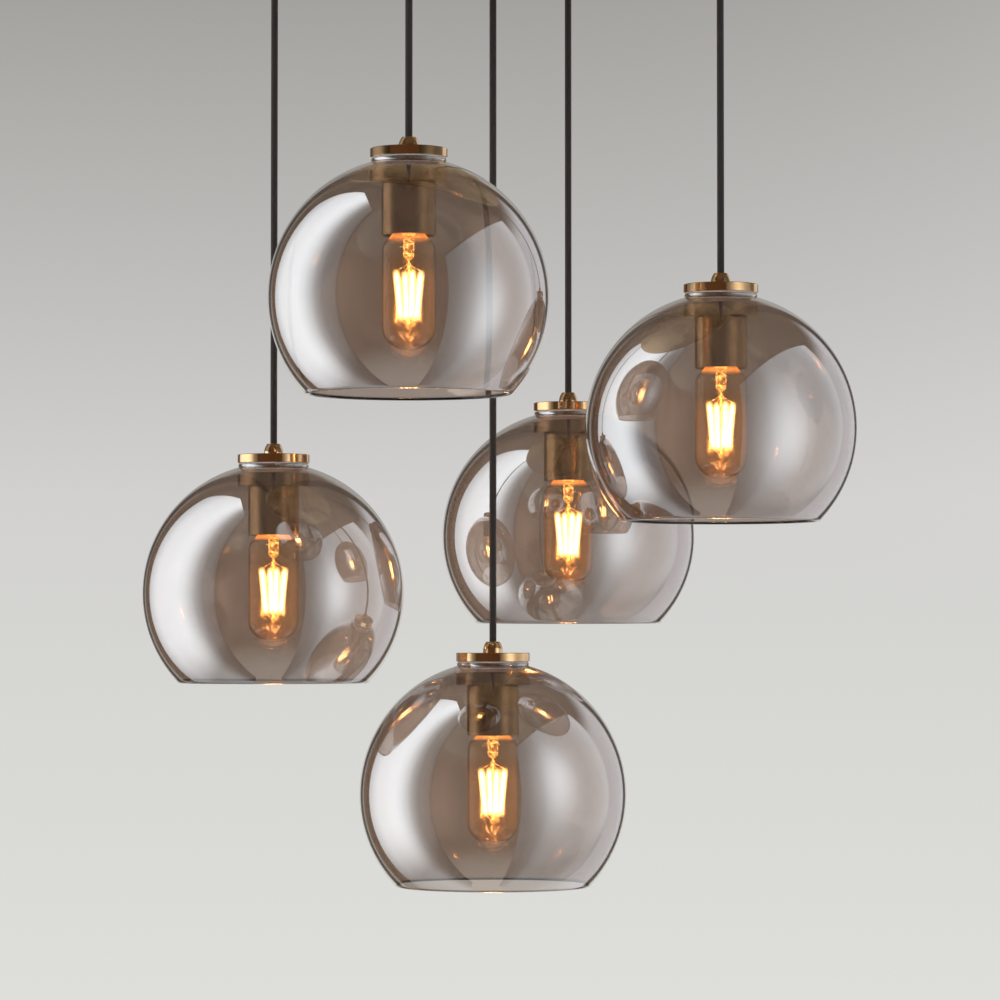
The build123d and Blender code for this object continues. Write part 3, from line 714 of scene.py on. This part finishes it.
def make_amber_glass():
    """Clear amber bulb glass with a painted glow: faint all over, stronger beside the strips, and strongest
    in a band round its shoulder.
    """
    made, n, shader = material("bulb_amber_glass")
    shader.inputs["Transmission Weight"].default_value = 1.0
    shader.inputs["IOR"].default_value = GLASS_IOR
    shader.inputs["Roughness"].default_value = 0.0
    shader.inputs["Base Color"].default_value = (0.99, 0.87, 0.72, 1)
    level = n.split(n.place())[2]
    # Painted glow on the glass, beside the strips and brighter in a band round the shoulder
    beside = n.product(n.span(level, 30 * MM, 12 * MM), n.span(level, -42 * MM, -20 * MM))
    glow = n.ramp(beside, [(0.0, (0.02, 0.006, 0.001)), (1.0, (1.0, 0.42, 0.12))])
    shoulder = n.product(n.span(level, 46.0 * MM, 49.5 * MM), n.span(level, 53.5 * MM, 51.0 * MM))
    n.put(shader.inputs["Emission Color"], n.mix(shoulder, glow, (16.0, 5.6, 1.0)))
    shader.inputs["Emission Strength"].default_value = 0.035
    return made


def make_painted_glint_wire(name, colour, metallic, transmission, low, high, strength):
    """Stem or wires beside the strips, with painted golden glints: emission in small spots that stands for
    the strips' light caught on them.
    """
    made, n, shader = material(name)
    shader.inputs["Base Color"].default_value = (*colour, 1)
    shader.inputs["Metallic"].default_value = metallic
    shader.inputs["Transmission Weight"].default_value = transmission
    place = n.place()
    grain = n.grain(place, 420.0, 2.0, 0.6)
    n.put(shader.inputs["Roughness"], n.span(grain, 0.3, 0.7, 0.05, 0.2))
    # Painted glints, fading towards the base and the tip
    glints = n.ramp(n.span(grain, low, high), [(0.0, (0.10, 0.035, 0.006)), (1.0, (1.0, 0.62, 0.20))])
    level = n.split(place)[2]
    above = n.span(level, 54 * MM, 36 * MM, 0.35, 1.0)
    below = n.span(level, -32 * MM, -24 * MM, 0.3, 1.0)
    n.put(shader.inputs["Emission Color"], n.mix(n.product(above, below), (0.0, 0.0, 0.0), glints))
    shader.inputs["Emission Strength"].default_value = strength
    return made


def make_filament():
    """Lit strips, dark at both ends."""
    made, n, shader = material("lit_filament")
    shader.inputs["Base Color"].default_value = (1.0, 0.75, 0.35, 1)
    level = n.split(n.place())[2]
    lit = n.product(n.span(level, -17 * MM, -12 * MM), n.span(level, 21 * MM, 16 * MM))
    glow = n.ramp(lit, [(0.0, (0.05, 0.015, 0.002)), (0.5, (0.6, 0.32, 0.1)), (1.0, (1.0, 0.74, 0.45))])
    n.put(shader.inputs["Emission Color"], glow)
    shader.inputs["Emission Strength"].default_value = 70.0
    return made


def make_sleeve():
    """Clear sleeve round each strip, partly the strips' phosphor coat and partly a painted glow round them:
    it adds light and hides nothing.
    """
    made, n, shader = material("phosphor_and_glow_sleeve")
    made.node_tree.nodes.remove(shader)
    level = n.split(n.place())[2]
    lit = n.product(n.span(level, -21 * MM, -12 * MM), n.span(level, 25 * MM, 16 * MM))
    # Painted glow, strongest where the sleeve is seen face-on and fading to its edges
    facing = n.node("ShaderNodeLayerWeight", Blend=0.5).outputs["Facing"]
    thick = n.math("POWER", n.math("SUBTRACT", 1.0, facing), 1.6)
    glow = n.node("ShaderNodeEmission", Color=(1.0, 0.66, 0.27), Strength=n.product(lit, thick, 4.2))
    both = n.node("ShaderNodeAddShader")
    n.put(both.inputs[0], n.clear())
    n.put(both.inputs[1], glow.outputs[0])
    n.show(both.outputs[0])
    return made


def make_simple(name, colour, roughness, metallic=0.0, speck=0.06, transmission=0.0, coat=0.0):
    """Moulded, glazed or plated surface with a fine grain."""
    made, n, shader = material(name)
    grain = n.grain(n.place(), 400.0, 4.0)
    darker = tuple(c * (1 - 3 * speck) for c in colour)
    n.put(shader.inputs["Base Color"], n.mix(n.span(grain, 0.35, 0.65), darker, colour))
    n.put(shader.inputs["Roughness"], n.span(grain, 0.3, 0.7, roughness, roughness * 1.25))
    shader.inputs["Metallic"].default_value = metallic
    shader.inputs["Transmission Weight"].default_value = transmission
    shader.inputs["Coat Weight"].default_value = coat
    n.put(shader.inputs["Normal"], n.bump(grain, 0.1 * MM, 0.3))
    return made


# ------------------------------------------------------------------ pendant pieces


# Sizes below are in millimetres, and heights are above the globe's centre
GLOBE_OUTER, GLOBE_INNER = 114.96, 112.0
GLOBE_RIM, RIM_BULGE = -78.1, 0.888
NECK_BORE, NECK_LEVEL, NECK_ROUND = 27.0, 113.54, 0.8
NECK_CORNER = (0.25, 0.2)  # middle point of the neck's rounded edge, in from its sides
FILM_RADIUS = 113.6  # between the walls

BULB_RADIUS, BULB_NECK, BULB_WALL = 22.0, 12.4, 0.6
BULB_BASE, BULB_SHOULDER, BULB_TIP, BULB_DOME = 56.36, 39.36, -42.89, 18.0
BULB_IN_BASE = 4.0

STRIPS = 4
STRIP_TURN = 18.0  # degrees
STRIP_TOP = (10.6, 21.11)  # distance from the axis, and height
STRIP_FOOT = (6.6, -16.89)
STRIP_RADIUS, SLEEVE_RADIUS, WIRE_RADIUS = 1.3, 3.3, 0.28
HUB_AWAY, HUB_HALF, HUB_RADIUS = 6.5, 0.75, 2.0
WIRE_START = 0.9

STEM_FLARE = [(11.3, BULB_BASE), (4.5, 55.36), (4.5, 46.36)]
STEM_PINCH = [(4.5, 40.0), (4.4, 36.0), (4.0, 33.6), (2.6, 31.8)]
STEM_ROD = [(0.8, 31.11), (0.8, -25.0), (0.5, -25.8), (0.0, -25.9)]

BASE_RADIUS, BASE_HEIGHT = 12.6, 20.0
THREAD_DEPTH, THREAD_PITCH, THREAD_FADE = 0.42, 3.63, 1.5
BASE_CONE = ((8.0, 79.86), (4.75, 81.86))


def globe_mesh():
    """Blown globe with both walls, a rounded cut rim and a short neck."""
    rim_out, rim_in = (degrees(asin(GLOBE_RIM / radius)) for radius in (GLOBE_OUTER, GLOBE_INNER))
    neck_out, neck_in = degrees(acos(NECK_OUTER / GLOBE_OUTER)), degrees(acos(NECK_BORE / GLOBE_INNER))
    points = arc(GLOBE_OUTER, rim_out, neck_out, 96)
    for radius, way in ((NECK_OUTER, -1), (NECK_BORE, 1)):
        corner = [
            (radius, NECK_LEVEL - NECK_ROUND),
            (radius + way * NECK_CORNER[0], NECK_LEVEL - NECK_CORNER[1]),
            (radius + way * NECK_ROUND, NECK_LEVEL),
        ]
        points += corner[::-way]
    inside = arc(GLOBE_INNER, neck_in, rim_in, 96)
    points += inside
    last, first = inside[-1], points[0]
    for i in range(1, 8):
        radius, height = (a + (b - a) * i / 8 for a, b in zip(last, first))
        points.append((radius, height - RIM_BULGE * sin(pi * i / 8)))
    return lathe("blown_globe", [(r * MM, z * MM) for r, z in points], 256, closed=True)


def bend(corners, steps):
    """Points of a Bezier curve after its first one, from its corners."""
    points = []
    for i in range(1, steps + 1):
        line = corners
        while len(line) > 1:
            line = [tuple(p + (q - p) * i / steps for p, q in zip(a, b)) for a, b in zip(line, line[1:])]
        points.append(line[0])
    return points


def bulb_profile(inset):
    """Half outline of the bulb's wall from its base down to its tip."""
    radius, neck = BULB_RADIUS - inset, BULB_NECK - inset
    handle = 0.45 * (BULB_BASE - BULB_SHOULDER)
    points = [(neck, BULB_BASE + BULB_IN_BASE), (neck, BULB_BASE)]
    curve = [
        (neck, BULB_BASE),
        (neck, BULB_BASE - handle),
        (radius, BULB_SHOULDER + handle),
        (radius, BULB_SHOULDER),
    ]
    points += bend(curve, 16)
    centre = BULB_TIP + BULB_DOME
    points += [(radius, BULB_SHOULDER + (centre - BULB_SHOULDER) * i / 8) for i in range(1, 9)]
    angles = [radians(90 * i / 24) for i in range(1, 24)]
    points += [(radius * cos(angle), centre - (BULB_DOME - inset) * sin(angle)) for angle in angles]
    return points + [(0.0, centre - (BULB_DOME - inset))]


def bulb_mesh():
    outline = bulb_profile(0)[::-1] + bulb_profile(BULB_WALL)
    return lathe("bulb_envelope", [(r * MM, z * MM) for r, z in outline], 128, closed=True)


def tube_between(a, b, radius, sides, rounded=False):
    """Vertices and faces of a round rod between two points, with domed ends where rounded."""
    a, b = Vector(a), Vector(b)
    along = (b - a).normalized()
    side = along.orthogonal().normalized()
    other = along.cross(side)
    rings = [(a, radius), (b, radius)]
    if rounded:
        dome = ((0.9, 0.3), (0.6, 0.75))
        rings = [(a - along * radius * out, radius * share) for out, share in dome] + rings
        rings += [(b + along * radius * out, radius * share) for out, share in dome[::-1]]
    verts, faces = [], []
    for centre, size in rings:
        for i in range(sides):
            angle = tau * i / sides
            verts.append(centre + (side * cos(angle) + other * sin(angle)) * size)
    for r in range(len(rings) - 1):
        faces += band(r * sides, (r + 1) * sides, sides)
    faces.append(tuple(range(sides))[::-1])
    faces.append(tuple((len(rings) - 1) * sides + i for i in range(sides)))
    return verts, faces


def join(name, parts):
    """One mesh of several parts' vertices and faces."""
    verts, faces = [], []
    for more, polygons in parts:
        faces += [tuple(i + len(verts) for i in face) for face in polygons]
        verts += [tuple(v) for v in more]
    return mesh_of(name, verts, faces)


def strip_ends(place):
    """Upper and lower end of one strip."""
    angle = radians(STRIP_TURN + place * 360 / STRIPS)
    return [
        (out * cos(angle) * MM, out * sin(angle) * MM, height * MM)
        for out, height in (STRIP_TOP, STRIP_FOOT)
    ]


def strips_mesh(name, radius, sides):
    """A rod along each strip's line: the strips, or the clear sleeves of painted glow round them."""
    ends = [strip_ends(place) for place in range(STRIPS)]
    return join(name, [tube_between(foot, top, radius * MM, sides, rounded=True) for top, foot in ends])


def support_mesh():
    """Two stars of wire that carry the strips, each on its hub."""
    parts = []
    for which, side in ((0, 1), (1, -1)):
        tips = [strip_ends(place)[which] for place in range(STRIPS)]
        level = tips[0][2] + side * HUB_AWAY * MM
        low, high = level - HUB_HALF * MM, level + HUB_HALF * MM
        parts.append(tube_between((0, 0, low), (0, 0, high), HUB_RADIUS * MM, 24))
        for x, y, z in tips:
            start = (x, y, z + side * WIRE_START * MM)
            parts.append(tube_between(start, (0, 0, level), WIRE_RADIUS * MM, 8))
    return join("support_wires", parts)


def stem_mesh():
    """Glass stem: a flare from the base, a pinched foot and the rod through both hubs."""
    outline = [(0.0, BULB_BASE), STEM_FLARE[0], *bend(STEM_FLARE, 12), *STEM_PINCH, *STEM_ROD]
    return lathe("glass_stem", [(r * MM, z * MM) for r, z in outline[::-1]], 64)


def base_mesh():
    """Screw base with its rolled thread, and the cone of its contact."""
    steps, rows = 96, 120
    points, faces = [], []
    for row in range(rows + 1):
        up = BASE_HEIGHT * row / rows
        started = min(1.0, max(0.0, (up - THREAD_FADE) / THREAD_FADE))
        left = min(1.0, max(0.0, (BASE_HEIGHT - up) / THREAD_FADE))
        for i in range(steps):
            angle = tau * i / steps
            wave = cos(tau * up / THREAD_PITCH - angle)
            r = BASE_RADIUS + THREAD_DEPTH * wave * started * left
            points.append((r * cos(angle) * MM, r * sin(angle) * MM, (BULB_BASE + up) * MM))
    for row in range(rows):
        faces += band(row * steps, (row + 1) * steps, steps)
    for radius, height in BASE_CONE:
        faces += band(len(points) - steps, len(points), steps)
        points += ring(radius * MM, height * MM, steps)
    faces.append(tuple(len(points) - steps + i for i in range(steps)))
    return mesh_of("screw_base", points, faces)


PENDANT_FINISHES = {
    "cord_grip": "polished",
    "cap": "polished",
    "clamp_dish": "satin",
    "socket_cup": "satin",
    "gaskets": "silicone",
    "lampholder": "ceramic",
}
CEILING_FINISHES = {
    "canopy": "canopy",
    "mounting_strap": "zinc",
    "mounting_studs": "zinc",
    "canopy_nuts": "polished",
    "canopy_cord_grips": "polished",
    "grip_lock_nuts": "polished",
    "terminal_block": "plastic",
    "terminal_screws": "zinc",
    "earth_screw": "polished",
}


CLEAR_SHAPES = ("blown_globe", "bulb_envelope", "glass_stem")


def place_piece(letter, mesh, replaced):
    """Put a shared mesh on one pendant's axis, at its globe's centre, in place of a node."""
    piece = bpy.data.objects.new(f"{mesh.name}_{letter}", mesh)
    piece.location = (*AXES[letter], CENTRES[letter])
    bpy.context.scene.collection.objects.link(piece)
    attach(piece, f"pendant_{letter}")
    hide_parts(f"{replaced}_{letter}")
    piece.visible_shadow = mesh.name not in CLEAR_SHAPES


def make_pendants(finishes):
    """Glass, bulb and lit parts of each pendant, and the finishes of its metal, ceramic and silicone."""
    globe = globe_mesh()
    shapes = (  # mesh, slot, node that it replaces, finishes
        (globe, "smoked_glass", "globe", ("smoked", "smoked_inside")),
        (bulb_mesh(), "bulb_amber_glass", "bulb_glass", ("amber",)),
        (strips_mesh("filament_strips", STRIP_RADIUS, 16), "bulb_inner", "bulb_core", ("filament",)),
        (strips_mesh("phosphor_and_glow_sleeves", SLEEVE_RADIUS, 24), "bulb_inner", "bulb_core", ("sleeve",)),
        (support_mesh(), "bulb_inner", "bulb_core", ("wire",)),
        (stem_mesh(), "bulb_inner", "bulb_core", ("stem",)),
        (base_mesh(), "bulb_inner", "bulb_core", ("base",)),
    )
    for mesh, _, _, dressed in shapes:
        for finish in dressed:
            mesh.materials.append(finishes[finish])
    # Only the globe's outside has the mirror film
    inner = [polygon.center.length <= FILM_RADIUS * MM for polygon in globe.polygons]
    globe.polygons.foreach_set("material_index", [int(inside) for inside in inner])
    for letter in LETTERS:
        for mesh, slot, replaced, _ in shapes:
            place_piece(letter, mesh, replaced)
        for node, finish in PENDANT_FINISHES.items():
            paint(f"{node}_{letter}", finishes[finish], (*AXES[letter], CENTRES[letter]))


# ------------------------------------------------------------------ build

make_camera()
fabric = make_fabric(braid_group())
jacket = make_simple("lead_jacket", (0.022, 0.02, 0.019), 0.5)
for letter in LETTERS:
    make_cord(letter, fabric)
    make_lead(letter, fabric, jacket)

turned = turned_group()
finishes = {
    "smoked": make_smoked_glass("smoked_glass", MIRROR_GAIN),
    "smoked_inside": make_smoked_glass("smoked_glass_inside", 1.0),
    "amber": make_amber_glass(),
    "filament": make_filament(),
    "sleeve": make_sleeve(),
    **{name: make_brass(turned, *facts) for name, facts in BRASSES.items()},
    "zinc": make_simple("zinc_steel", (0.62, 0.63, 0.64), 0.36, metallic=1.0, speck=0.04),
    "silicone": make_simple("silicone", (0.80, 0.74, 0.74), 0.4, transmission=0.35),
    "ceramic": make_simple("holder_ceramic", (0.84, 0.82, 0.78), 0.25, speck=0.02, coat=0.5),
    "plastic": make_simple("terminal_plastic", (0.82, 0.80, 0.74), 0.42, speck=0.02),
    # The support wires and the stem carry painted golden glints
    "wire": make_painted_glint_wire("support_wire", (0.85, 0.62, 0.32), 1.0, 0.0, 0.40, 0.60, 4.5),
    "base": make_simple("screw_base_brass", (0.78, 0.66, 0.42), 0.28, metallic=1.0),
    "stem": make_painted_glint_wire("stem_glass", (1.0, 0.85, 0.6), 0.0, 1.0, 0.50, 0.62, 4.0),
}
make_pendants(finishes)
for node, finish in CEILING_FINISHES.items():
    paint(node, finishes[finish], (0.0, 0.0, 0.0))
make_studio()
